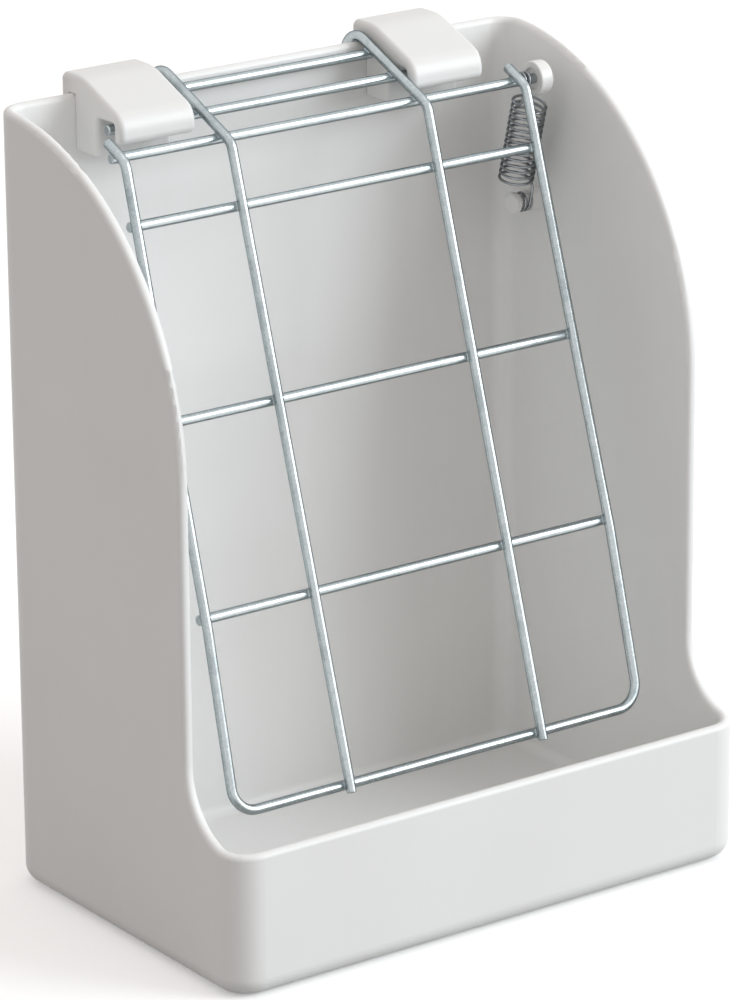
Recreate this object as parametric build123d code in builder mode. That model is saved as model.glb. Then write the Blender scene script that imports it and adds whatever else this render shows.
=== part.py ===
from build123d import *
from math import cos, dist, pi, radians, sin, sqrt
import os

# Hay feeder box: a moulded open-fronted box and a sprung grille of welded wire.
# The grille hangs by two hooked wires on the rim of the back wall, two moulded clips on that rim
# keep it there, and a coil spring at its right end draws it in towards the back wall.
#
# Millimetres. X runs across the box, Y from the open front (-Y) to the back wall (+Y), Z is up.
# The origin is the middle of the base at floor level. Places in the grille, the clips and the
# spring are given in the side view as (v, z), where v is measured from the outer face of the
# back wall and is negative towards the front.

# Box
box_width = 160.0
box_depth = 102.0
box_height = 206.0
wall = 3.0
floor_thickness = 3.0
front_corner_radius = 9.0
back_corner_radius = 8.0
base_edge_radius = 5.0
floor_edge_radius = 3.0
side_depth = 81.0            # back face to the front edge of the side walls
shoulder_radius = 78.0       # convex sweep from the back rim down to the front edge
lip_height = 38.0            # front tray wall
lip_radius = 18.0            # concave sweep from the side walls into the tray
rim_land = 0.1               # flat left along the top of the rounded rim, each side of its middle

# Grille wires
wire_diameter = 2.6
weld_sink = 0.3              # how far welded wires are pressed into each other
side_gap = 15.4              # inside of a side wall to the centre of an outer leg, at the top
leg_spread = 2.0             # how much further out each leg is at its foot
inner_wire_x = 30.2
top_slope = 22.7             # degrees above level
top_length = 31.6            # bend to the point beside the hinge axis
top_rise = 3.6               # hinge axis to the centre line of the top section
front_tilt = 17.3            # degrees from upright
foot_above_lip = 1.5         # foot of the front section over the tray wall
bend_radius = 4.5
foot_corner_radius = 6.5
leg_set_radius = 40.0        # slight bend in each leg that takes its foot behind the inner wires
leg_set_below_bar = 3.0
leg_stub = 8.5               # outer legs past the bend
inner_wire_overhang = 2.0    # inner wires past the foot bar
bar_overhang = 1.0           # bars past the centre of the wire that they end on
first_bar = 16.0             # bend to the first bar of the front section
front_bar_gaps = 3           # equal gaps from there down to the foot bar
top_bar_first = 4.8          # bend to the first bar of the top section
top_bar_pitch = 10.9
wire_end_chamfer = 0.3

# Hooks of the two inner wires over the rim
hook_radius = 6.0
hook_clearance = 0.25
hook_end = 80.0              # degrees past the top of the hook

# Clips on the rim
clip_grip = 0.1              # clearance of the clip's slot on the wall
clip_width = 22.5
left_clip_gap = 3.15         # clip to the inner wire beside it
right_clip_gap = 0.6
clip_rise = 4.8              # top of the clip over the rim
clip_rear = 3.8
clip_leg_drop = 14.1         # both legs below the rim
clip_leg_front = 12.2
clip_flat = 5.5              # front end of the level top
clip_slope = 21.9            # degrees
clip_nose_front = 23.6
clip_nose_wall = 3.7
clip_nose_drop = 9.2         # foot of the nose below the rim
bar_headroom = 0.8           # clip's channel over the bar that it traps
clip_top_radius = 15.0       # between the level top and the slope
clip_nose_radius = 5.5
clip_edge_radius = 2.0
clip_side_radius = 1.5
channel_radius = 0.8
bar_end_inset = 0.25

# Spring
spring_wire = 0.75
spring_outer_diameter = 9.6
spring_pitch = 1.74
spring_turns = 13.5
spring_tilt = 15.0           # degrees from upright, foot towards the back
spring_to_leg = 6.8          # spring axis from the centre of the right leg
spring_neck = 6.8            # coil to the centre of each end loop
spring_wire_sides = 6
loop_turns = 1.5
loop_pitch = 1.35
loop_offset = 3.2            # end loops from the spring axis
loop_clearance = 0.3

# Cap on the end of the rod that carries the spring
cap_diameter = 9.2
cap_length = 4.2
cap_to_wall = 5.2
cap_bore_depth = 3.0
cap_bore_clearance = 0.05
cap_outer_round = 1.2
cap_inner_round = 0.4
cap_recess_radius = 3.0
cap_recess_depth = 0.8

# Peg inside the right side wall that holds the foot of the spring
peg_neck_radius = 1.7
peg_shoulder_radius = 3.0
peg_head_radius = 2.9
peg_head = 1.6
peg_groove = 3.8
peg_head_round = 0.6

# Values that follow from the sizes above
back_y = box_depth / 2
front_y = -box_depth / 2
side_edge_y = back_y - side_depth
inner_side_x = box_width / 2 - wall
rim_round = wall / 2 - rim_land
wire_radius = wire_diameter / 2
weld_offset = wire_diameter - weld_sink
leg_x = inner_side_x - side_gap

slope = radians(top_slope)
tilt = radians(front_tilt)
up_slope = Vector(0, cos(slope), sin(slope))
over_slope = Vector(0, -sin(slope), cos(slope))
down_front = Vector(0, -sin(tilt), -cos(tilt))
into_box = Vector(0, cos(tilt), -sin(tilt))
across = Vector(1, 0, 0)

hinge = Vector(0, back_y - wall / 2, box_height - wall / 2)
bend = hinge + over_slope * top_rise - up_slope * top_length
front_length = (bend.Z - lip_height - foot_above_lip) / cos(tilt)
front_bar_pitch = (front_length - first_bar) / front_bar_gaps

upper_at = first_bar
middle_at = first_bar + front_bar_pitch
lower_at = first_bar + 2 * front_bar_pitch
rod_at = top_bar_first
clip_bar_at = top_bar_first + top_bar_pitch
rear_at = top_bar_first + 2 * top_bar_pitch

hook_stand_off = hook_radius - wire_radius - wall / 2 - hook_clearance
hook_drop = hook_radius - top_rise
hook_back = sqrt(hook_stand_off ** 2 - hook_drop ** 2)
hook_centre = hinge - over_slope * hook_drop - up_slope * hook_back

clip_starts = inner_wire_x + wire_radius
cap_outer_x = inner_side_x - cap_to_wall
cap_inner_x = cap_outer_x - cap_length

spring_x = leg_x + spring_to_leg
lean = radians(spring_tilt)
spring_down = Vector(0, sin(lean), -cos(lean))
spring_back = Vector(0, cos(lean), sin(lean))
coil_radius = (spring_outer_diameter - spring_wire) / 2
coil_length = spring_turns * spring_pitch
spring_length = coil_length + 2 * spring_neck


def side_point(v, z):
    """Point of the side view, on the plane that faces along X."""
    return (back_y + v, z)


def top_point(x, along, below=0.0):
    """Point on the top section: along it from the bend, and below its wires."""
    return bend + across * x + up_slope * along - over_slope * below


def front_point(x, along, behind=0.0):
    """Point on the front section: down it from the bend, and behind its wires."""
    return bend + across * x + down_front * along + into_box * behind


def leg_offset(along):
    """Distance of a leg from the middle plane, down the front section."""
    return leg_x + leg_spread * along / front_length


rod_centre = top_point(spring_x, rod_at, weld_offset)
peg_centre = rod_centre + spring_down * spring_length


def save(piece, name):
    """Label a finished piece and write it as the STEP file of its node."""
    piece.part.label = name
    export_step(piece.part, f"parts/{name}.step")
    print(name, piece.part.is_valid, len(piece.part.solids()), round(piece.part.volume, 1))


def biarc(start, heading, end, end_heading):
    """Two arcs from one place and heading to another, with no corner between them."""
    chord = end - start
    both = heading + end_heading
    bend_term = 2 * (1 - heading.dot(end_heading))
    reach = chord.dot(both)
    reach = (sqrt(reach ** 2 + bend_term * chord.dot(chord)) - reach) / bend_term
    joint = (start + end + (heading - end_heading) * reach) * 0.5
    joint_heading = (end - end_heading * reach - start - heading * reach).normalized()
    TangentArc(start, joint, tangent=heading)
    TangentArc(joint, end, tangent=joint_heading)


os.makedirs("parts", exist_ok=True)

# ---------------------------------------------------------------- box
with BuildPart() as box:
    with BuildSketch():
        Rectangle(box_width, box_depth)
        fillet(vertices().group_by(Axis.Y)[0], front_corner_radius)
        fillet(vertices().group_by(Axis.Y)[-1], back_corner_radius)
    extrude(amount=box_height + wall)
    fillet(faces().sort_by(Axis.Z)[0].edges(), base_edge_radius)
    with BuildSketch(Plane.XY.offset(floor_thickness)):
        Rectangle(box_width - 2 * wall, box_depth - 2 * wall)
        fillet(vertices().group_by(Axis.Y)[0], front_corner_radius - wall)
        fillet(vertices().group_by(Axis.Y)[-1], back_corner_radius - wall)
    extrude(amount=box_height, mode=Mode.SUBTRACT)

    # Side view: level rim, shoulder, front edge, sweep into the tray, lip
    shoulder_y = side_edge_y + shoulder_radius
    shoulder_z = box_height - shoulder_radius
    sweep_y = side_edge_y - lip_radius
    sweep_z = lip_height + lip_radius
    with BuildSketch(Plane.YZ):
        with BuildLine():
            Polyline((shoulder_y, box_height), (back_y + wall, box_height), (back_y + wall, -wall),
                     (front_y - wall, -wall), (front_y - wall, lip_height), (sweep_y, lip_height))
            CenterArc((sweep_y, sweep_z), lip_radius, -90, 90)
            Line((side_edge_y, sweep_z), (side_edge_y, shoulder_z))
            CenterArc((shoulder_y, shoulder_z), shoulder_radius, 90, 90)
        make_face()
    extrude(amount=box_width, both=True, mode=Mode.INTERSECT)

    def on_rim(face):
        """True for a face cut by the side view, which is the top of a wall."""
        p = face.position_at(0.5, 0.5)
        on_level = abs(p.Z - box_height) < 0.01 or abs(p.Z - lip_height) < 0.01
        on_edge = abs(p.Y - side_edge_y) < 0.01
        on_shoulder = abs(Vector(0, p.Y - shoulder_y, p.Z - shoulder_z).length - shoulder_radius) < 0.01
        on_sweep = abs(Vector(0, p.Y - sweep_y, p.Z - sweep_z).length - lip_radius) < 0.01
        return on_level or on_edge or on_shoulder or on_sweep

    rim_edges = [e for f in faces().filter_by(on_rim) for e in f.edges()]
    rim_sides = [e for e in rim_edges if sum(e.is_same(other) for other in rim_edges) == 1]
    fillet(rim_sides, rim_round)
    floor_top = faces().filter_by(lambda f: abs(f.center().Z - floor_thickness) < 0.01)
    fillet(floor_top.edges(), floor_edge_radius)

    # Peg for the foot of the spring, turned about its own centre line
    peg_groove_x = spring_x + loop_offset - peg_groove / 2
    peg_tip_x = peg_groove_x - peg_head
    peg_shoulder_x = peg_groove_x + peg_groove
    with BuildSketch(Plane(origin=(0, peg_centre.Y, peg_centre.Z), x_dir=(1, 0, 0), z_dir=(0, -1, 0))):
        with BuildLine():
            Polyline((peg_tip_x, 0), (peg_tip_x, peg_head_radius), (peg_groove_x, peg_head_radius),
                     (peg_groove_x, peg_neck_radius), (peg_shoulder_x, peg_neck_radius),
                     (peg_shoulder_x, peg_shoulder_radius), (inner_side_x + wall / 2, peg_shoulder_radius),
                     (inner_side_x + wall / 2, 0), close=True)
        make_face()
        fillet(vertices().group_by(Axis.X)[0].sort_by(Axis.Y)[-1], peg_head_round)
    revolve(axis=Axis((0, peg_centre.Y, peg_centre.Z), (1, 0, 0)))

save(box, "box")

# ---------------------------------------------------------------- clips
clip_bar_centre = top_point(0, clip_bar_at, weld_offset)
channel_top = clip_bar_centre.Z + wire_radius + bar_headroom
channel_front = clip_nose_wall - clip_nose_front
clip_top = box_height + clip_rise
clip_slope_angle = radians(clip_slope)
nose_top = clip_top - (clip_nose_front - clip_flat) * sin(clip_slope_angle) / cos(clip_slope_angle)
nose_foot = box_height - clip_nose_drop
leg_foot = box_height - clip_leg_drop
clip_rounds = [
    (side_point(-clip_flat, clip_top), clip_top_radius),
    (side_point(-clip_nose_front, nose_top), clip_nose_radius),
    (side_point(-clip_nose_front, nose_foot), clip_edge_radius),
    (side_point(clip_rear, clip_top), clip_edge_radius),
    (side_point(clip_rear, leg_foot), clip_edge_radius),
    (side_point(channel_front, channel_top), channel_radius),
    (side_point(-clip_leg_front, channel_top), channel_radius),
]


def on_clip_outline(edge):
    """True for an edge of a clip's side that isn't in its slot or its channel, or round its inner leg."""
    p = edge.position_at(0.5)
    return p.Z > box_height + 2 * clip_grip or p.Y > back_y + 2 * clip_grip or p.Y < back_y + channel_front


for side, clip_gap, clip_name in ((-1, left_clip_gap, "left_clip"), (1, right_clip_gap, "right_clip")):
    with BuildPart() as clip:
        with BuildSketch(Plane.YZ.offset(side * (clip_starts + clip_gap + clip_width / 2))):
            with BuildLine():
                Polyline(side_point(clip_rear, leg_foot),
                         side_point(clip_rear, clip_top),
                         side_point(-clip_flat, clip_top),
                         side_point(-clip_nose_front, nose_top),
                         side_point(-clip_nose_front, nose_foot),
                         side_point(channel_front, nose_foot),
                         side_point(channel_front, channel_top),
                         side_point(-clip_leg_front, channel_top),
                         side_point(-clip_leg_front, leg_foot),
                         side_point(-wall - clip_grip, leg_foot),
                         side_point(-wall - clip_grip, box_height + clip_grip),
                         side_point(clip_grip, box_height + clip_grip),
                         side_point(clip_grip, leg_foot), close=True)
            make_face()
            for corner, radius in clip_rounds:
                fillet(vertices().sort_by_distance(corner)[0], radius)
        extrude(amount=clip_width / 2, both=True)
        fillet(faces().filter_by(Axis.X).edges().filter_by(on_clip_outline), clip_side_radius)
    save(clip, clip_name)

# ---------------------------------------------------------------- grille wires
hook_starts = top_length - hook_back

inner_wires = []
for side, wire_name in ((-1, "inner_wire_left"), (1, "inner_wire_right")):
    wire_x = side * inner_wire_x
    with BuildPart() as inner_wire:
        with BuildLine() as inner_line:
            FilletPolyline(front_point(wire_x, front_length + inner_wire_overhang),
                           top_point(wire_x, 0), top_point(wire_x, hook_starts), radius=bend_radius)
            with BuildLine(Plane.YZ.offset(wire_x)):
                CenterArc((hook_centre.Y, hook_centre.Z), hook_radius, 90 + top_slope,
                          -(top_slope + hook_end))
        with BuildSketch(Plane(inner_line.wire() ^ 0)):
            Circle(wire_radius)
        sweep()
        chamfer(faces().filter_by(GeomType.PLANE).edges(), wire_end_chamfer)
    save(inner_wire, wire_name)
    inner_wires.append(inner_wire)

leg_set_at = lower_at + leg_set_below_bar


def leg_corners(side):
    """Corners of one outer leg, from its stub down to the foot of the front section."""
    return [top_point(side * leg_x, leg_stub),
            top_point(side * leg_x, 0),
            front_point(side * leg_offset(leg_set_at), leg_set_at),
            front_point(side * leg_offset(front_length), front_length, weld_offset)]


leg_radii = [bend_radius, leg_set_radius, foot_corner_radius]

with BuildPart() as outer_frame:
    with BuildLine() as frame_line:
        FilletPolyline(*leg_corners(-1), *leg_corners(1)[::-1], radius=leg_radii + leg_radii[::-1])
    with BuildSketch(Plane(frame_line.wire() ^ 0)):
        Circle(wire_radius)
    sweep()
    chamfer(faces().filter_by(GeomType.PLANE).edges(), wire_end_chamfer)
    for wire in inner_wires:
        add(wire.part, mode=Mode.SUBTRACT)
save(outer_frame, "outer_frame")

# ---------------------------------------------------------------- bars welded under the wires
leg_end = leg_x + bar_overhang
rod_end = cap_inner_x + cap_bore_depth
clip_bar_end = clip_starts + left_clip_gap + clip_width - bar_end_inset
bars = {
    "rear_bar": (-inner_wire_x - bar_overhang, inner_wire_x + bar_overhang,
                 top_point(0, rear_at, weld_offset)),
    "clip_bar": (-clip_bar_end, clip_bar_end, clip_bar_centre),
    "spring_rod": (-leg_end, rod_end, top_point(0, rod_at, weld_offset)),
    "upper_bar": (-leg_offset(upper_at) - bar_overhang, leg_offset(upper_at) + bar_overhang,
                  front_point(0, upper_at, weld_offset)),
    "middle_bar": (-leg_offset(middle_at) - bar_overhang, leg_offset(middle_at) + bar_overhang,
                   front_point(0, middle_at, weld_offset)),
    "lower_bar": (-leg_offset(lower_at) - bar_overhang, leg_offset(lower_at) + bar_overhang,
                  front_point(0, lower_at, weld_offset)),
}
for bar_name, (left_x, right_x, centre) in bars.items():
    with BuildPart() as bar:
        with BuildSketch(Plane.YZ.offset(left_x)):
            with Locations((centre.Y, centre.Z)):
                Circle(wire_radius)
        extrude(amount=right_x - left_x)
        chamfer(faces().filter_by(Axis.X).edges(), wire_end_chamfer)
        for wire in [outer_frame] + inner_wires:
            add(wire.part, mode=Mode.SUBTRACT)
    save(bar, bar_name)

# ---------------------------------------------------------------- cap on the spring rod
with BuildPart() as spring_cap:
    with BuildSketch(Plane.YZ.offset(cap_inner_x)):
        with Locations((rod_centre.Y, rod_centre.Z)):
            Circle(cap_diameter / 2)
    extrude(amount=cap_length)
    fillet(edges().group_by(Axis.X)[-1], cap_outer_round)
    fillet(edges().group_by(Axis.X)[0], cap_inner_round)
    with BuildSketch(Plane.YZ.offset(cap_inner_x)):
        with Locations((rod_centre.Y, rod_centre.Z)):
            Circle(cap_recess_radius)
    extrude(amount=cap_recess_depth, mode=Mode.SUBTRACT)
    with BuildSketch(Plane.YZ.offset(cap_inner_x)):
        with Locations((rod_centre.Y, rod_centre.Z)):
            Circle(wire_radius + cap_bore_clearance)
    extrude(amount=cap_bore_depth, mode=Mode.SUBTRACT)
save(spring_cap, "spring_cap")

# ---------------------------------------------------------------- spring


def end_loop(centre, outward, side, radius):
    """Places and headings round an end loop, from the neck to its free end."""
    places = []
    for step in range(round(loop_turns * 4) + 1):
        angle = step * pi / 2
        slide = loop_offset + loop_pitch * (loop_turns / 2 - angle / (2 * pi))
        reach = spring_back * (-radius * cos(angle)) + outward * (radius * sin(angle))
        heading = spring_back * (radius * sin(angle)) + outward * (radius * cos(angle))
        if step:
            heading += across * (-side * loop_pitch / (2 * pi))
        places.append((centre + across * (side * slide) + reach, heading.normalized()))
    return places


def coil_place(half_turns):
    """Place and heading on the coil, counted in half turns from its top."""
    angle = pi * (1 + half_turns)
    place = rod_centre + spring_down * (spring_neck + spring_pitch * half_turns / 2)
    place += across * (coil_radius * cos(angle)) - spring_back * (coil_radius * sin(angle))
    heading = across * (-coil_radius * sin(angle)) - spring_back * (coil_radius * cos(angle))
    heading += spring_down * (spring_pitch / (2 * pi))
    return (place, heading.normalized())


rod_loop_radius = wire_radius + loop_clearance + spring_wire / 2
peg_loop_radius = peg_neck_radius + loop_clearance + spring_wire / 2
top_loop = end_loop(rod_centre, spring_down * -1, -1, rod_loop_radius)
foot_loop = end_loop(peg_centre, spring_down, 1, peg_loop_radius)
top_neck = (top_loop[0][0] + spring_down * (spring_neck - rod_loop_radius), spring_down)
foot_neck = (foot_loop[0][0] - spring_down * (spring_neck - peg_loop_radius), spring_down)
from_rod = [(place, heading * -1) for place, heading in reversed(top_loop)]
coil = [coil_place(half_turn) for half_turn in range(round(spring_turns * 2) + 1)]
stretches = [from_rod, [top_neck] + coil + [foot_neck], foot_loop]

with BuildPart() as tension_spring:
    with BuildLine() as spring_line:
        for stretch in stretches:
            for (start, heading), (end, end_heading) in zip(stretch, stretch[1:]):
                biarc(start, heading, end, end_heading)
        Line(top_loop[0][0], top_neck[0])
        Line(foot_neck[0], foot_loop[0][0])
    with BuildSketch(Plane(spring_line.wire() ^ 0)):
        RegularPolygon(spring_wire / 2, spring_wire_sides)
    sweep(clean=False)
save(tension_spring, "tension_spring")

# Least gap of the spring to itself, on points along its centre line
spring_path = spring_line.wire()
point_count = 1500
spacing = spring_path.length / point_count
apart = round(2 * spring_wire / spacing)
points = [tuple(spring_path.position_at(n / point_count)) for n in range(point_count + 1)]
gap = min(dist(points[i], points[j])
          for i in range(point_count) for j in range(i + apart, point_count + 1)) - spring_wire
print("spring gap to itself", round(gap, 2), "mm, wire length", round(spring_path.length, 1), "mm")
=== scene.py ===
"""Hay feeder box: finishes for its plastic and wire, its coil spring and weld marks, and a studio."""

import math
import random

import bmesh
import bpy
from bpy.props import FloatProperty, FloatVectorProperty, IntProperty, PointerProperty
from mathutils import Matrix, Vector, noise


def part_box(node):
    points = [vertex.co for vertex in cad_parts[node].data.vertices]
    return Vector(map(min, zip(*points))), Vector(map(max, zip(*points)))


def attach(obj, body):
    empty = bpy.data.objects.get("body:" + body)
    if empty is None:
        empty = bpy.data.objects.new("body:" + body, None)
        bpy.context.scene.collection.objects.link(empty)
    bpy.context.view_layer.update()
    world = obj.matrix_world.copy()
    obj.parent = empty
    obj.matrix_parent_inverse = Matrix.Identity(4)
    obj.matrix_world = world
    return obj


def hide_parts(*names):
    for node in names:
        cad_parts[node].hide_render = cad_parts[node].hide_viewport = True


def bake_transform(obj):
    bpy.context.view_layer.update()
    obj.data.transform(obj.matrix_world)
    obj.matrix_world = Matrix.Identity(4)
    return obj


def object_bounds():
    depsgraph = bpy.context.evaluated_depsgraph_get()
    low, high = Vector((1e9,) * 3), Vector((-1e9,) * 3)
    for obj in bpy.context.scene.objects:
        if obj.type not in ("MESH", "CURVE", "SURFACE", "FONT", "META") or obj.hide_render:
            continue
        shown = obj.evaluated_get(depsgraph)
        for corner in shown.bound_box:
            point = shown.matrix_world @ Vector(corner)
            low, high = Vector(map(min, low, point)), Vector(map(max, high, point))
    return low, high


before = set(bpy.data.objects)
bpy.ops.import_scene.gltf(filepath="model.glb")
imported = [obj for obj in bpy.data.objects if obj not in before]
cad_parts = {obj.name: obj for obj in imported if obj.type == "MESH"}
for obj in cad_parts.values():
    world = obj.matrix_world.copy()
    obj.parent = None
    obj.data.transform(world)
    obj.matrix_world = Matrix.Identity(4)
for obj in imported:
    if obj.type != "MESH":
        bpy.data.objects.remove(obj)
cad_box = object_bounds()

bl_info = {
    "name": "Hay feeder box",
    "version": (1, 0, 0),
    "blender": (4, 5, 0),
    "location": "3D View > Sidebar > Hay feeder",
    "description": "Finishes, coil spring, weld marks and studio for a hay feeder with a sprung grille",
    "category": "Object",
}

ACROSS = Vector((1, 0, 0))

# Wires that lie over the bars, the bars that are welded under them, and those that reach both legs
INNER_WIRES = ("inner_wire_left", "inner_wire_right")
TOP_BARS = ("rear_bar", "clip_bar", "spring_rod")
FRONT_BARS = ("upper_bar", "middle_bar", "lower_bar")
LEGGED_BARS = ("spring_rod", "upper_bar", "middle_bar", "lower_bar")

# Grain of the plastic. Scales are in repeats per metre, and a stretch is one scale for each axis.
CLOUD_SCALE = 16
CLOUD_STRETCH = (1, 1, 0.6)
FLOW_STRETCH = (260, 260, 14)
SPARK_SCALE = 2400
WAVE_SCALE = 60
MOULD_GRAIN = 0.00002

# Grain of the wires: drawn lines along a bar and along an upright wire, and even grain on the spring
LINES_ON_BAR = (60, 5200, 5200)
LINES_ON_WIRE = (5200, 5200, 60)
GRAIN_ON_SPRING = (3000, 3000, 3000)
CRYSTAL_SCALE = 900
UNEVEN_SCALE = 110
PLATING_GRAIN = 0.00002
SPRING_GRAIN = 0.00001

# Weld metal
MOTTLE_SCALE = 1500
STAIN_SCALE = 420
STAIN_COLOUR = (0.36, 0.33, 0.29)
WELD_GRAIN = 0.00006

# Roughness of each finish
BOX_ROUGHNESS = 0.42
CLIP_ROUGHNESS = 0.36
CAP_ROUGHNESS = 0.34
ZINC_ROUGHNESS = 0.22
SPRING_ROUGHNESS = 0.26
WELD_ROUGHNESS = 0.38
FLOOR_ROUGHNESS = 0.9

# Share of the spring's colour that its duller grains have, and that its edge tint keeps, which paints a
# darker reflection where the wire is seen at a flat angle
SPRING_DULL = 0.6
SPRING_PAINTED_DARK_EDGE = 0.5

# Shape of a weld mark: how unevenly it is drawn out and leans, its small lumps and its four lobes
WELD_STRETCH = (-0.06, 0.1)
WELD_LEAN = (-0.12, 0.12)
LUMP_DEPTH = 0.10
LUMP_SCALE = 1.7
LUMP_SHIFT = 900             # moves the lumps from one mark to the next, so that no two are alike
LOBE_DEPTH = 0.12
WELD_SEGMENTS = 16
WELD_RINGS = 8

NECK_STEPS = 8               # rings of wire in each straight or eased stretch of the spring
FLOOR_SEGMENTS = 96
FLOOR_DROP = 0.0002          # floor below the base, so that the two faces don't lie in one plane

WHITE = (1, 1, 1)
WHITE_STRENGTH = 1.0         # surroundings where they are seen
SENSOR_WIDTH = 36.0
CAMERA_NEAR = 0.05
CAMERA_FAR = 50.0

# Sockets of a mix node, which has several with the same name
MIX_VALUES_IN = (2, 3)
MIX_VALUE_OUT = 0
MIX_COLOURS_IN = (6, 7)
MIX_COLOUR_OUT = 2


# ---------------------------------------------------------------- settings


class FeederColours(bpy.types.PropertyGroup):
    box: FloatVectorProperty(name="Box", description="Moulded plastic of the box", subtype="COLOR",
                             size=3, min=0, max=1, default=(0.83, 0.828, 0.82))
    box_cloud: FloatVectorProperty(name="Box clouding", description="Warmer patches in the box's plastic",
                                   subtype="COLOR", size=3, min=0, max=1, default=(0.81, 0.805, 0.792))
    clip: FloatVectorProperty(name="Clips", description="Moulded plastic of the two clips", subtype="COLOR",
                              size=3, min=0, max=1, default=(0.79, 0.79, 0.782))
    clip_cloud: FloatVectorProperty(name="Clip clouding", description="Warmer patches in the clips' plastic",
                                    subtype="COLOR", size=3, min=0, max=1, default=(0.77, 0.766, 0.752))
    cap: FloatVectorProperty(name="Cap", description="Plastic of the cap on the spring rod", subtype="COLOR",
                             size=3, min=0, max=1, default=(0.80, 0.80, 0.785))
    zinc: FloatVectorProperty(name="Zinc plate", description="Bright plating of the grille's wires",
                              subtype="COLOR", size=3, min=0, max=1, default=(0.54, 0.585, 0.60))
    zinc_dull: FloatVectorProperty(name="Dull zinc", description="Duller grains in the plating",
                                   subtype="COLOR", size=3, min=0, max=1, default=(0.33, 0.38, 0.395))
    # Painted dark reflection: a near-black edge tint that darkens the plating wherever it is seen at a flat
    # angle
    zinc_painted_dark_edge: FloatVectorProperty(name="Zinc at the edges", description="Plating seen at a flat angle",
                                   subtype="COLOR", size=3, min=0, max=1, default=(0.10, 0.15, 0.17))
    spring: FloatVectorProperty(name="Spring steel", description="Bare wire of the coil spring",
                                subtype="COLOR", size=3, min=0, max=1, default=(0.34, 0.355, 0.37))
    floor: FloatVectorProperty(name="Floor", description="Studio floor", subtype="COLOR",
                               size=3, min=0, max=1, default=(0.9, 0.9, 0.9))


class SpringSizes(bpy.types.PropertyGroup):
    wire: FloatProperty(name="Wire", description="Diameter of the spring's wire", unit="LENGTH",
                        precision=5, default=0.00075, min=0.0003, max=0.0012)
    coil_diameter: FloatProperty(name="Coil", description="Outside diameter of the coil", unit="LENGTH",
                                 precision=5, default=0.0096, min=0.006, max=0.0096)
    turns: FloatProperty(name="Turns", description="Turns of the coil", default=13.5, min=4, max=30)
    pitch: FloatProperty(name="Pitch", description="Distance from one turn to the next", unit="LENGTH",
                         precision=5, default=0.00174, min=0.0008, max=0.003)
    neck: FloatProperty(name="Neck", description="Coil to the centre of each end loop", unit="LENGTH",
                        precision=5, default=0.0068, min=0.004, max=0.01)
    tilt: FloatProperty(name="Tilt", description="Lean of the spring from upright", subtype="ANGLE",
                        default=math.radians(15))
    axis_x: FloatProperty(name="Axis", description="Distance of the spring's axis from the middle plane",
                          unit="LENGTH", precision=5, default=0.0684)
    loop_offset: FloatProperty(name="Loop offset", description="Middle of an end loop from the spring's axis",
                               unit="LENGTH", precision=5, default=0.0032)
    loop_pitch: FloatProperty(name="Loop pitch", description="Advance of an end loop in one turn",
                              unit="LENGTH", precision=5, default=0.00135)
    loop_turns: FloatProperty(name="Loop turns", description="Turns of each end loop", default=1.5,
                              min=1, max=3)
    rod_loop: FloatProperty(name="Rod loop", description="Radius of the loop on the rod", unit="LENGTH",
                            precision=5, default=0.001975)
    peg_loop: FloatProperty(name="Peg loop", description="Radius of the loop on the peg", unit="LENGTH",
                            precision=5, default=0.002375)
    sides: IntProperty(name="Sides", description="Sides of the wire's round section", default=10,
                       min=6, max=24)
    steps: IntProperty(name="Steps", description="Rings of the wire in one turn", default=20, min=8, max=48)


class WeldSizes(bpy.types.PropertyGroup):
    width: FloatProperty(name="Width", description="Width of the metal squeezed out at a weld", unit="LENGTH",
                         precision=5, default=0.0029, min=0.001, max=0.005)
    thickness: FloatProperty(name="Thickness", description="Thickness of the metal squeezed out at a weld",
                             unit="LENGTH", precision=5, default=0.0010, min=0.0002, max=0.002)
    sink: FloatProperty(name="Sink", description="How far two welded wires are pressed into each other",
                        unit="LENGTH", precision=5, default=0.0003)
    top_slope: FloatProperty(name="Top slope", description="Slope of the grille's top section",
                             subtype="ANGLE", default=math.radians(22.7))
    front_tilt: FloatProperty(name="Front tilt", description="Lean of the grille's front from upright",
                              subtype="ANGLE", default=math.radians(17.3))
    leg_inset: FloatProperty(name="Leg inset", description="End of a bar to the centre of its leg",
                             unit="LENGTH", precision=5, default=0.001)
    seed: IntProperty(name="Seed", description="Seed of the marks' small irregularities", default=7)


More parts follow.
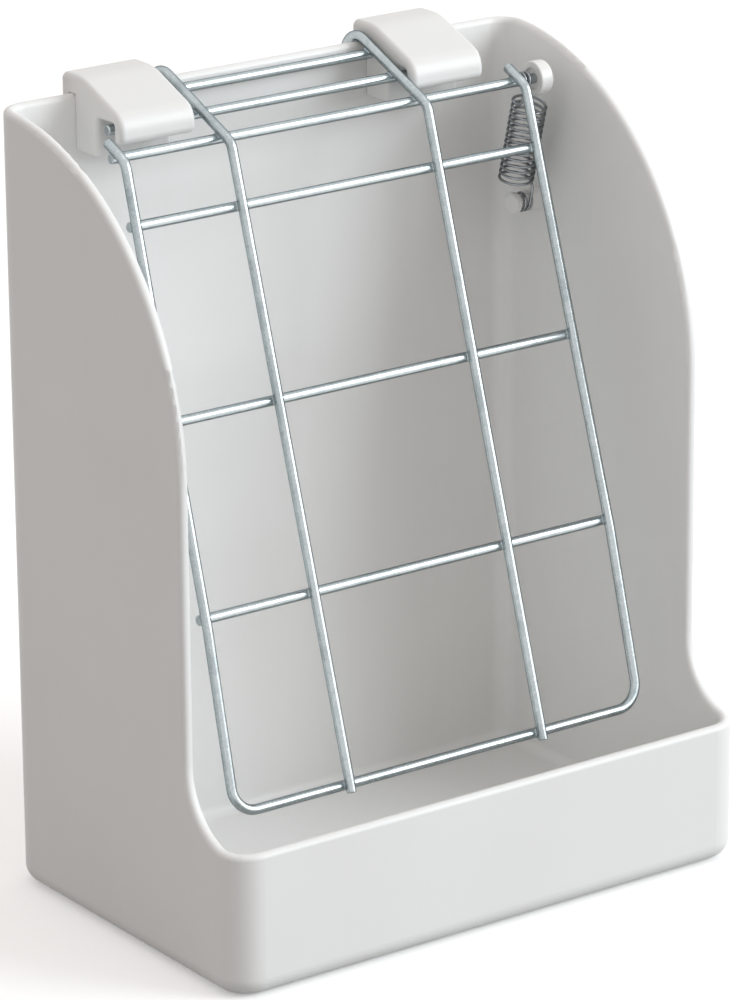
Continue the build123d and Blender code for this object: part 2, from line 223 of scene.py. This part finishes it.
class StageSizes(bpy.types.PropertyGroup):
    floor_radius: FloatProperty(name="Floor", description="Radius of the round floor", unit="LENGTH",
                                default=6.0, min=1, max=20)
    key_power: FloatProperty(name="Key", description="Power of the lamp at the front right", unit="POWER",
                             default=39.0)
    key_place: FloatVectorProperty(name="Key place", description="Place of the lamp at the front right",
                                   subtype="TRANSLATION", unit="LENGTH", size=3, default=(1.45, -1.5, 1.0))
    key_size: FloatProperty(name="Key size", description="Diameter of the lamp at the front right",
                            unit="LENGTH", default=1.6)
    key_colour: FloatVectorProperty(name="Key colour", description="Slightly cool colour of the lamp",
                                    subtype="COLOR", size=3, min=0, max=1, default=(0.89, 0.955, 1.0))
    top_power: FloatProperty(name="Top", description="Power of the lamp overhead", unit="POWER", default=1.5)
    top_place: FloatVectorProperty(name="Top place", description="Place of the lamp overhead",
                                   subtype="TRANSLATION", unit="LENGTH", size=3, default=(0.1, -0.1, 1.9))
    top_size: FloatProperty(name="Top size", description="Diameter of the lamp overhead", unit="LENGTH",
                            default=1.2)
    fill: FloatProperty(name="Fill", description="Strength of the even light from all round", default=0.67,
                        min=0, max=2)
    glow: FloatProperty(name="Glow", description="Light that the floor adds where it is seen",
                        default=0.30, min=0, max=1)
    bounce: FloatProperty(name="Bounce", description="Share of light that the floor gives back to the object",
                          subtype="FACTOR", default=0.35, min=0, max=1)
    fill_colour: FloatVectorProperty(name="Fill colour", description="Slightly warm colour of the even light",
                                     subtype="COLOR", size=3, min=0, max=1, default=(1.0, 0.955, 0.925))
    camera_place: FloatVectorProperty(name="Camera", description="Place of the camera", subtype="TRANSLATION",
                                      unit="LENGTH", size=3, default=(-0.75645, -1.05407, 0.54536))
    camera_azimuth: FloatProperty(name="Azimuth", description="Direction of the camera round the object",
                                  subtype="ANGLE", default=math.radians(35.546))
    camera_elevation: FloatProperty(name="Elevation", description="Height of the camera as an angle",
                                    subtype="ANGLE", default=math.radians(18.920))
    camera_roll: FloatProperty(name="Roll", description="Roll of the camera", subtype="ANGLE",
                               default=math.radians(-0.457))
    lens: FloatProperty(name="Lens", description="Focal length on a sensor 36 mm wide", unit="CAMERA",
                        default=264.93, min=20, max=600)


class HayFeederSettings(bpy.types.PropertyGroup):
    colours: PointerProperty(type=FeederColours)
    spring: PointerProperty(type=SpringSizes)
    welds: PointerProperty(type=WeldSizes)
    stage: PointerProperty(type=StageSizes)


# ---------------------------------------------------------------- materials


def mix_colours(tree, factor, first, second):
    """Adds a node that goes from the first colour to the second. Each is a colour or a socket."""
    node = tree.nodes.new("ShaderNodeMix")
    node.data_type = "RGBA"
    tree.links.new(factor, node.inputs["Factor"])
    for index, colour in zip(MIX_COLOURS_IN, (first, second)):
        if isinstance(colour, bpy.types.NodeSocket):
            tree.links.new(colour, node.inputs[index])
        else:
            node.inputs[index].default_value = (*colour, 1)
    return node.outputs[MIX_COLOUR_OUT]


class Finish:
    """A new node material with one shader, and short ways to add the nodes that give it detail."""

    def __init__(self, name, roughness, metallic=0.0, specular=0.5):
        self.material = bpy.data.materials.new(name)
        self.material.use_nodes = True
        self.tree = self.material.node_tree
        self.shader = self.tree.nodes["Principled BSDF"]
        self.shader.inputs["Roughness"].default_value = roughness
        self.shader.inputs["Metallic"].default_value = metallic
        self.shader.inputs["Specular IOR Level"].default_value = specular
        self.place = self.tree.nodes.new("ShaderNodeTexCoord").outputs["Object"]

    def link(self, source, target):
        self.tree.links.new(source, target)

    def mapped(self, scale, rotation=(0, 0, 0)):
        """The object's coordinates, turned and stretched, so that grain can run one way."""
        turn = self.tree.nodes.new("ShaderNodeMapping")
        turn.inputs["Rotation"].default_value = rotation
        self.link(self.place, turn.inputs["Vector"])
        stretch = self.tree.nodes.new("ShaderNodeVectorMath")
        stretch.operation = "MULTIPLY"
        stretch.inputs[1].default_value = scale
        self.link(turn.outputs["Vector"], stretch.inputs[0])
        return stretch.outputs["Vector"]

    def noise(self, place, scale, detail, roughness=0.5):
        node = self.tree.nodes.new("ShaderNodeTexNoise")
        node.inputs["Scale"].default_value = scale
        node.inputs["Detail"].default_value = detail
        node.inputs["Roughness"].default_value = roughness
        self.link(place, node.inputs["Vector"])
        return node.outputs["Fac"]

    def cells(self, place, scale):
        node = self.tree.nodes.new("ShaderNodeTexVoronoi")
        node.inputs["Scale"].default_value = scale
        self.link(place, node.inputs["Vector"])
        return node.outputs["Color"]

    def ranged(self, value, low, high, to_low, to_high, smooth=False):
        node = self.tree.nodes.new("ShaderNodeMapRange")
        node.interpolation_type = "SMOOTHSTEP" if smooth else "LINEAR"
        for socket, number in zip(("From Min", "From Max", "To Min", "To Max"), (low, high, to_low, to_high)):
            node.inputs[socket].default_value = number
        self.link(value, node.inputs["Value"])
        return node.outputs["Result"]

    def maths(self, operation, first, second):
        node = self.tree.nodes.new("ShaderNodeMath")
        node.operation = operation
        for socket, value in zip(node.inputs, (first, second)):
            if isinstance(value, (int, float)):
                socket.default_value = value
            else:
                self.link(value, socket)
        return node.outputs["Value"]

    def blended(self, factor, first, second):
        return mix_colours(self.tree, factor, first, second)

    def bump(self, height, strength, depth):
        node = self.tree.nodes.new("ShaderNodeBump")
        node.inputs["Strength"].default_value = strength
        node.inputs["Distance"].default_value = depth
        self.link(height, node.inputs["Height"])
        self.link(node.outputs["Normal"], self.shader.inputs["Normal"])

    def colour(self, source):
        self.link(source, self.shader.inputs["Base Color"])

    def rough(self, source):
        self.link(source, self.shader.inputs["Roughness"])


def moulded_plastic(name, colour, cloud, roughness):
    """Satin moulding: soft clouding, faint flow streaks, a very fine spark texture and a slight waviness."""
    finish = Finish(name, roughness, specular=0.45)
    clouding = finish.noise(finish.mapped(CLOUD_STRETCH), CLOUD_SCALE, detail=4)
    flow = finish.noise(finish.mapped(FLOW_STRETCH), 1, detail=2)
    patches = finish.maths("ADD", finish.ranged(clouding, 0.35, 0.65, 0, 0.8, smooth=True),
                           finish.ranged(flow, 0.3, 0.7, 0, 0.2))
    finish.colour(finish.blended(patches, colour, cloud))
    spark = finish.noise(finish.place, SPARK_SCALE, detail=2, roughness=0.6)
    waviness = finish.noise(finish.place, WAVE_SCALE, detail=2)
    finish.rough(finish.maths("ADD", finish.ranged(spark, 0.3, 0.7, roughness - 0.05, roughness + 0.05),
                              finish.ranged(waviness, 0.35, 0.65, -0.03, 0.04)))
    fine, broad = finish.maths("MULTIPLY", spark, 0.6), finish.maths("MULTIPLY", waviness, 3.0)
    finish.bump(finish.maths("ADD", fine, broad), strength=0.35, depth=MOULD_GRAIN)
    return finish.material


def drawn_wire(name, bright, dull, painted_dark_edge, roughness, along, rotation=(0, 0, 0), depth=PLATING_GRAIN):
    """Drawn wire: grain stretched by along, small bright and dull grains, a slightly uneven surface."""
    finish = Finish(name, roughness, metallic=1.0)
    # The edge tint is a painted darker reflection where the wire is seen at a flat angle
    finish.shader.inputs["Specular Tint"].default_value = (*painted_dark_edge, 1)
    lines = finish.noise(finish.mapped(along, rotation), 1, detail=2)
    grains = finish.cells(finish.place, CRYSTAL_SCALE)
    uneven = finish.noise(finish.place, UNEVEN_SCALE, detail=4)
    grain_mask = finish.ranged(grains, 0.2, 0.9, 0, 0.30)
    patch_mask = finish.ranged(uneven, 0.45, 0.75, 0, 0.55, smooth=True)
    finish.colour(finish.blended(finish.maths("ADD", grain_mask, patch_mask), bright, dull))
    finish.rough(finish.maths("ADD", finish.ranged(lines, 0.3, 0.7, roughness - 0.05, roughness + 0.07),
                              finish.ranged(uneven, 0.4, 0.7, 0, 0.08)))
    height = finish.maths("ADD", finish.maths("MULTIPLY", lines, 0.7), finish.maths("MULTIPLY", uneven, 1.2))
    finish.bump(height, strength=0.3, depth=depth)
    return finish.material


def weld_metal(name, bright, dull):
    """Squeezed-out metal under the plating: duller and rougher than the wires, with heat-stained specks."""
    finish = Finish(name, WELD_ROUGHNESS, metallic=1.0)
    mottle = finish.noise(finish.place, MOTTLE_SCALE, detail=3)
    stain = finish.noise(finish.place, STAIN_SCALE, detail=2)
    colour = finish.blended(finish.ranged(mottle, 0.3, 0.7, 0, 1), bright, dull)
    finish.colour(finish.blended(finish.ranged(stain, 0.55, 0.8, 0, 0.5), colour, STAIN_COLOUR))
    finish.rough(finish.ranged(mottle, 0.3, 0.7, 0.3, 0.5))
    finish.bump(mottle, strength=0.5, depth=WELD_GRAIN)
    return finish.material


def dress(node, material):
    """Puts a material in every slot of a node's object."""
    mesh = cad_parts[node].data
    if not mesh.materials:
        mesh.materials.append(material)
    for index in range(len(mesh.materials)):
        mesh.materials[index] = material


# ---------------------------------------------------------------- meshes


def tube_mesh(name, places, radius, sides):
    """A round wire through a list of places, closed at both ends."""
    shape = bmesh.new()
    rings = []
    count = len(places)
    headings = []
    for index in range(count):
        before, after = places[max(index - 1, 0)], places[min(index + 1, count - 1)]
        headings.append((after - before).normalized())
    side = headings[0].orthogonal().normalized()
    for place, heading in zip(places, headings):
        side = (side - heading * side.dot(heading)).normalized()
        other = heading.cross(side)
        ring = []
        for step in range(sides):
            angle = 2 * math.pi * step / sides
            ring.append(shape.verts.new(place + (side * math.cos(angle) + other * math.sin(angle)) * radius))
        rings.append(ring)
    for ring, following in zip(rings, rings[1:]):
        for step in range(sides):
            beside = (step + 1) % sides
            shape.faces.new((ring[step], ring[beside], following[beside], following[step]))
    shape.faces.new(rings[0][::-1])
    shape.faces.new(rings[-1])
    bmesh.ops.recalc_face_normals(shape, faces=shape.faces)
    mesh = bpy.data.meshes.new(name)
    shape.to_mesh(mesh)
    shape.free()
    for face in mesh.polygons:
        face.use_smooth = len(face.vertices) == 4
    return mesh


def eased(start, heading, end, end_heading, count):
    """Places on a smooth cubic from one place and heading to another, without the last."""
    reach = (end - start).length
    places = []
    for step in range(count):
        t = step / count
        places.append(start * (2 * t ** 3 - 3 * t ** 2 + 1) + heading * reach * (t ** 3 - 2 * t ** 2 + t)
                      + end * (3 * t ** 2 - 2 * t ** 3) + end_heading * reach * (t ** 3 - t ** 2))
    return places


def weld_mesh(name, spots, sizes):
    """Thin uneven lenses of squeezed-out metal, one at each spot where two wires cross."""
    chance = random.Random(sizes.seed)
    shape = bmesh.new()
    for centre, outward in spots:
        along = outward.cross(ACROSS)
        lens = bmesh.new()
        bmesh.ops.create_uvsphere(lens, u_segments=WELD_SEGMENTS, v_segments=WELD_RINGS, radius=1)
        stretch, lean = 1 + chance.uniform(*WELD_STRETCH), chance.uniform(*WELD_LEAN)
        added = {}
        for vert in lens.verts:
            p = vert.co
            lumps = 1 + LUMP_DEPTH * noise.noise(p * LUMP_SCALE + centre * LUMP_SHIFT)
            wide = 1 + LOBE_DEPTH * math.cos(4 * math.atan2(p.y, p.x) + math.pi)
            added[vert] = shape.verts.new(
                centre
                + ACROSS * (p.x * wide * stretch * lumps * sizes.width / 2)
                + along * (p.y * wide * lumps * sizes.width / 2)
                + outward * ((p.z * lumps + p.x * lean) * sizes.thickness / 2))
        for face in lens.faces:
            shape.faces.new([added[vert] for vert in face.verts]).smooth = True
        lens.free()
    bmesh.ops.recalc_face_normals(shape, faces=shape.faces)
    mesh = bpy.data.meshes.new(name)
    shape.to_mesh(mesh)
    shape.free()
    return mesh


def show(name, mesh, material):
    """Links a new object with that mesh and material, and returns it."""
    mesh.materials.append(material)
    piece = bpy.data.objects.new(name, mesh)
    bpy.context.scene.collection.objects.link(piece)
    return piece


def middle(node):
    """Middle of a node's box."""
    low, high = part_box(node)
    return (low + high) / 2


# ---------------------------------------------------------------- operators


class HAYFEEDER_OT_finish_box(bpy.types.Operator):
    """Give the moulded box its satin plastic"""

    bl_idname = "hay_feeder.finish_box"
    bl_label = "Finish the box"

    def execute(self, context):
        colours = context.scene.hay_feeder.colours
        plastic = moulded_plastic("box_plastic", tuple(colours.box), tuple(colours.box_cloud), BOX_ROUGHNESS)
        dress("box", plastic)
        return {"FINISHED"}


class HAYFEEDER_OT_finish_clips(bpy.types.Operator):
    """Give the two clips and the cap their satin plastic"""

    bl_idname = "hay_feeder.finish_clips"
    bl_label = "Finish the clips and the cap"

    def execute(self, context):
        colours = context.scene.hay_feeder.colours
        cloud = tuple(colours.clip_cloud)
        clip_plastic = moulded_plastic("clip_plastic", tuple(colours.clip), cloud, CLIP_ROUGHNESS)
        for clip in ("left_clip", "right_clip"):
            dress(clip, clip_plastic)
        dress("spring_cap", moulded_plastic("cap_plastic", tuple(colours.cap), cloud, CAP_ROUGHNESS))
        return {"FINISHED"}


class HAYFEEDER_OT_finish_wires(bpy.types.Operator):
    """Give the grille's wires their bright zinc plate, drawn lengthwise"""

    bl_idname = "hay_feeder.finish_wires"
    bl_label = "Finish the wires"

    def execute(self, context):
        settings = context.scene.hay_feeder
        colours = settings.colours
        tones = tuple(colours.zinc), tuple(colours.zinc_dull), tuple(colours.zinc_painted_dark_edge)
        bar_zinc = drawn_wire("plated_bars", *tones, ZINC_ROUGHNESS, LINES_ON_BAR)
        wire_zinc = drawn_wire("plated_wires", *tones, ZINC_ROUGHNESS, LINES_ON_WIRE,
                               rotation=(-settings.welds.front_tilt, 0, 0))
        for bar in TOP_BARS + FRONT_BARS:
            dress(bar, bar_zinc)
        for wire in INNER_WIRES + ("outer_frame",):
            dress(wire, wire_zinc)
        return {"FINISHED"}


class HAYFEEDER_OT_add_welds(bpy.types.Operator):
    """Add the small marks of squeezed-out metal where the wires are welded together"""

    bl_idname = "hay_feeder.add_welds"
    bl_label = "Add the weld marks"

    def execute(self, context):
        settings = context.scene.hay_feeder
        sizes = settings.welds
        rod_low, rod_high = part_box("spring_rod")
        radius = (rod_high.z - rod_low.z) / 2
        to_weld = radius - sizes.sink / 2
        over_top = Vector((0, -math.sin(sizes.top_slope), math.cos(sizes.top_slope)))
        over_front = Vector((0, -math.cos(sizes.front_tilt), math.sin(sizes.front_tilt)))
        inner = [middle(wire).x for wire in INNER_WIRES]
        spots = []
        for bar in TOP_BARS + FRONT_BARS:
            centre = middle(bar)
            outward = over_top if bar in TOP_BARS else over_front
            crossings = list(inner)
            if bar in LEGGED_BARS:
                leg = -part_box(bar)[0].x - sizes.leg_inset
                crossings += [-leg, leg]
            for x in crossings:
                spots.append((Vector((x, centre.y, centre.z)) + outward * to_weld, outward))
        frame_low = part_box("outer_frame")[0]
        foot = Vector((0, frame_low.y + radius, frame_low.z + radius))
        for x in inner:
            spots.append((foot + ACROSS * x + over_front * to_weld, over_front))
        metal = weld_metal("weld_metal", tuple(settings.colours.zinc), tuple(settings.colours.zinc_dull))
        marks = show("weld_marks", weld_mesh("weld_marks", spots, sizes), metal)
        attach(marks, "grille")
        return {"FINISHED"}


class HAYFEEDER_OT_wind_spring(bpy.types.Operator):
    """Wind the coil spring between its peg and the rod, in round wire"""

    bl_idname = "hay_feeder.wind_spring"
    bl_label = "Wind the spring"

    def execute(self, context):
        settings = context.scene.hay_feeder
        sizes = settings.spring
        rod = middle("spring_rod")
        rod_centre = Vector((sizes.axis_x, rod.y, rod.z))
        down = Vector((0, math.sin(sizes.tilt), -math.cos(sizes.tilt)))
        back = Vector((0, math.cos(sizes.tilt), math.sin(sizes.tilt)))
        coil_radius = (sizes.coil_diameter - sizes.wire) / 2
        length = sizes.turns * sizes.pitch + 2 * sizes.neck
        peg_centre = rod_centre + down * length

        def loop(centre, outward, side, radius):
            places = []
            count = round(sizes.loop_turns * sizes.steps)
            for step in range(count + 1):
                turned = step / sizes.steps
                angle = 2 * math.pi * turned
                slide = sizes.loop_offset + sizes.loop_pitch * (sizes.loop_turns / 2 - turned)
                places.append(centre + ACROSS * (side * slide) - back * (radius * math.cos(angle))
                              + outward * (radius * math.sin(angle)))
            return places

        def coil(turned):
            angle = math.pi + 2 * math.pi * turned
            return (rod_centre + down * (sizes.neck + sizes.pitch * turned)
                    + ACROSS * (coil_radius * math.cos(angle)) - back * (coil_radius * math.sin(angle)))

        def coil_heading(turned):
            angle = math.pi + 2 * math.pi * turned
            return (ACROSS * (-coil_radius * math.sin(angle)) - back * (coil_radius * math.cos(angle))
                    + down * (sizes.pitch / (2 * math.pi))).normalized()

        top_loop = loop(rod_centre, -down, -1, sizes.rod_loop)
        foot_loop = loop(peg_centre, down, 1, sizes.peg_loop)
        top_neck = top_loop[0] + down * (sizes.neck - sizes.rod_loop)
        foot_neck = foot_loop[0] - down * (sizes.neck - sizes.peg_loop)
        places = top_loop[::-1]
        places += [top_loop[0].lerp(top_neck, step / NECK_STEPS) for step in range(1, NECK_STEPS)]
        places += eased(top_neck, down, coil(0), coil_heading(0), NECK_STEPS)
        count = round(sizes.turns * sizes.steps)
        places += [coil(step / sizes.steps) for step in range(count)]
        places += eased(coil(sizes.turns), coil_heading(sizes.turns), foot_neck, down, NECK_STEPS)
        places += [foot_neck.lerp(foot_loop[0], step / NECK_STEPS) for step in range(NECK_STEPS)]
        places += foot_loop

        bare = settings.colours.spring
        # The edge tint at half the steel's colour is a painted darker reflection at the coil's edges
        dull, painted_dark_edge = (tuple(c * share for c in bare) for share in (SPRING_DULL, SPRING_PAINTED_DARK_EDGE))
        steel = drawn_wire("spring_steel", tuple(bare), dull, painted_dark_edge, SPRING_ROUGHNESS, GRAIN_ON_SPRING,
                           depth=SPRING_GRAIN)
        spring = show("wound_spring", tube_mesh("wound_spring", places, sizes.wire / 2, sizes.sides), steel)
        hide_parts("tension_spring")
        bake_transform(spring)
        return {"FINISHED"}


class HAYFEEDER_OT_set_stage(bpy.types.Operator):
    """Set up the pale floor, the white surroundings, the soft lamps and the camera"""

    bl_idname = "hay_feeder.set_stage"
    bl_label = "Set the stage"

    def execute(self, context):
        scene = context.scene
        sizes = scene.hay_feeder.stage
        scene.view_settings.view_transform = "Standard"
        self.lay_floor(scene, sizes)
        self.light_world(scene, sizes)
        key = self.hang_lamp(scene, "key_lamp", Vector(sizes.key_place), sizes.key_size, sizes.key_power)
        key.color = sizes.key_colour
        self.hang_lamp(scene, "top_lamp", Vector(sizes.top_place), sizes.top_size, sizes.top_power)
        self.place_camera(scene, sizes)
        return {"FINISHED"}

    def lay_floor(self, scene, sizes):
        shape = bmesh.new()
        bmesh.ops.create_circle(shape, cap_ends=True, segments=FLOOR_SEGMENTS, radius=sizes.floor_radius)
        mesh = bpy.data.meshes.new("studio_floor")
        shape.to_mesh(mesh)
        shape.free()
        material = bpy.data.materials.new("studio_floor")
        material.use_nodes = True
        tree = material.node_tree
        shader = tree.nodes["Principled BSDF"]
        shader.inputs["Roughness"].default_value = FLOOR_ROUGHNESS
        shader.inputs["Specular IOR Level"].default_value = 0.0
        seen = self.seen_rays(tree)
        pale = tuple(scene.hay_feeder.colours.floor)
        given_back = tuple(sizes.bounce * c for c in pale)
        tree.links.new(mix_colours(tree, seen, given_back, pale), shader.inputs["Base Color"])
        glow = tree.nodes.new("ShaderNodeMath")
        glow.operation = "MULTIPLY"
        glow.inputs[1].default_value = sizes.glow
        tree.links.new(seen, glow.inputs[0])
        shader.inputs["Emission Color"].default_value = (*WHITE, 1)
        tree.links.new(glow.outputs["Value"], shader.inputs["Emission Strength"])
        floor = show("studio_floor", mesh, material)
        floor.location.z = -FLOOR_DROP

    def seen_rays(self, tree):
        """1 for rays that see the surroundings: from the camera, in gloss and through clear things."""
        path = tree.nodes.new("ShaderNodeLightPath")
        either = tree.nodes.new("ShaderNodeMath")
        either.operation = "MAXIMUM"
        tree.links.new(path.outputs["Is Camera Ray"], either.inputs[0])
        tree.links.new(path.outputs["Is Glossy Ray"], either.inputs[1])
        each = tree.nodes.new("ShaderNodeMath")
        each.operation = "MAXIMUM"
        tree.links.new(either.outputs["Value"], each.inputs[0])
        tree.links.new(path.outputs["Is Transmission Ray"], each.inputs[1])
        return each.outputs["Value"]

    def light_world(self, scene, sizes):
        world = bpy.data.worlds.new("studio_surroundings")
        world.use_nodes = True
        tree = world.node_tree
        surroundings = tree.nodes["Background"]
        seen = self.seen_rays(tree)
        tree.links.new(mix_colours(tree, seen, sizes.fill_colour, WHITE), surroundings.inputs["Color"])
        strength = tree.nodes.new("ShaderNodeMix")
        tree.links.new(seen, strength.inputs["Factor"])
        for index, value in zip(MIX_VALUES_IN, (sizes.fill, WHITE_STRENGTH)):
            strength.inputs[index].default_value = value
        tree.links.new(strength.outputs[MIX_VALUE_OUT], surroundings.inputs["Strength"])
        scene.world = world

    def hang_lamp(self, scene, name, place, size, power):
        """A round soft lamp at that place, facing the middle of the object."""
        lamp = bpy.data.lights.new(name, "AREA")
        lamp.shape = "DISK"
        lamp.size = size
        lamp.energy = power
        hung = bpy.data.objects.new(name, lamp)
        hung.location = place
        hung.rotation_euler = (sum(cad_box, Vector()) / 2 - place).to_track_quat("-Z", "Y").to_euler()
        scene.collection.objects.link(hung)
        return lamp

    def place_camera(self, scene, sizes):
        azimuth, elevation, roll = sizes.camera_azimuth, sizes.camera_elevation, sizes.camera_roll
        back = Vector((-math.sin(azimuth) * math.cos(elevation), -math.cos(azimuth) * math.cos(elevation),
                       math.sin(elevation)))
        level = Vector((0, 0, 1)).cross(back).normalized()
        upright = back.cross(level)
        right = level * math.cos(roll) + upright * math.sin(roll)
        up = upright * math.cos(roll) - level * math.sin(roll)
        optics = bpy.data.cameras.new("photo_camera")
        optics.sensor_fit = "HORIZONTAL"
        optics.sensor_width = SENSOR_WIDTH
        optics.lens = sizes.lens
        optics.clip_start = CAMERA_NEAR
        optics.clip_end = CAMERA_FAR
        camera = bpy.data.objects.new("photo_camera", optics)
        turn = Matrix((right, up, back)).transposed().to_4x4()
        camera.matrix_world = Matrix.Translation(Vector(sizes.camera_place)) @ turn
        scene.collection.objects.link(camera)
        scene.camera = camera


OPERATORS = (
    HAYFEEDER_OT_finish_box,
    HAYFEEDER_OT_finish_clips,
    HAYFEEDER_OT_finish_wires,
    HAYFEEDER_OT_add_welds,
    HAYFEEDER_OT_wind_spring,
    HAYFEEDER_OT_set_stage,
)


class HAYFEEDER_PT_panel(bpy.types.Panel):
    """Sizes, colours and steps of the hay feeder box"""

    bl_idname = "HAYFEEDER_PT_panel"
    bl_label = "Hay feeder box"
    bl_space_type = "VIEW_3D"
    bl_region_type = "UI"
    bl_category = "Hay feeder"

    def draw(self, context):
        settings = context.scene.hay_feeder
        for title, group in (("Colours", settings.colours), ("Spring", settings.spring),
                             ("Weld marks", settings.welds), ("Stage", settings.stage)):
            box = self.layout.box()
            box.label(text=title)
            for name in group.__annotations__:
                box.prop(group, name)
        for operator in OPERATORS:
            self.layout.operator(operator.bl_idname)


GROUPS = (FeederColours, SpringSizes, WeldSizes, StageSizes, HayFeederSettings)
CLASSES = (*GROUPS, *OPERATORS, HAYFEEDER_PT_panel)


def register():
    for cls in CLASSES:
        bpy.utils.register_class(cls)
    bpy.types.Scene.hay_feeder = PointerProperty(type=HayFeederSettings)


def unregister():
    del bpy.types.Scene.hay_feeder
    for cls in reversed(CLASSES):
        bpy.utils.unregister_class(cls)


def main():
    register()
    bpy.ops.hay_feeder.finish_box()
    bpy.ops.hay_feeder.finish_clips()
    bpy.ops.hay_feeder.finish_wires()
    bpy.ops.hay_feeder.add_welds()
    bpy.ops.hay_feeder.wind_spring()
    bpy.ops.hay_feeder.set_stage()
    bpy.context.view_layer.update()


if __name__ == "__main__":
    main()
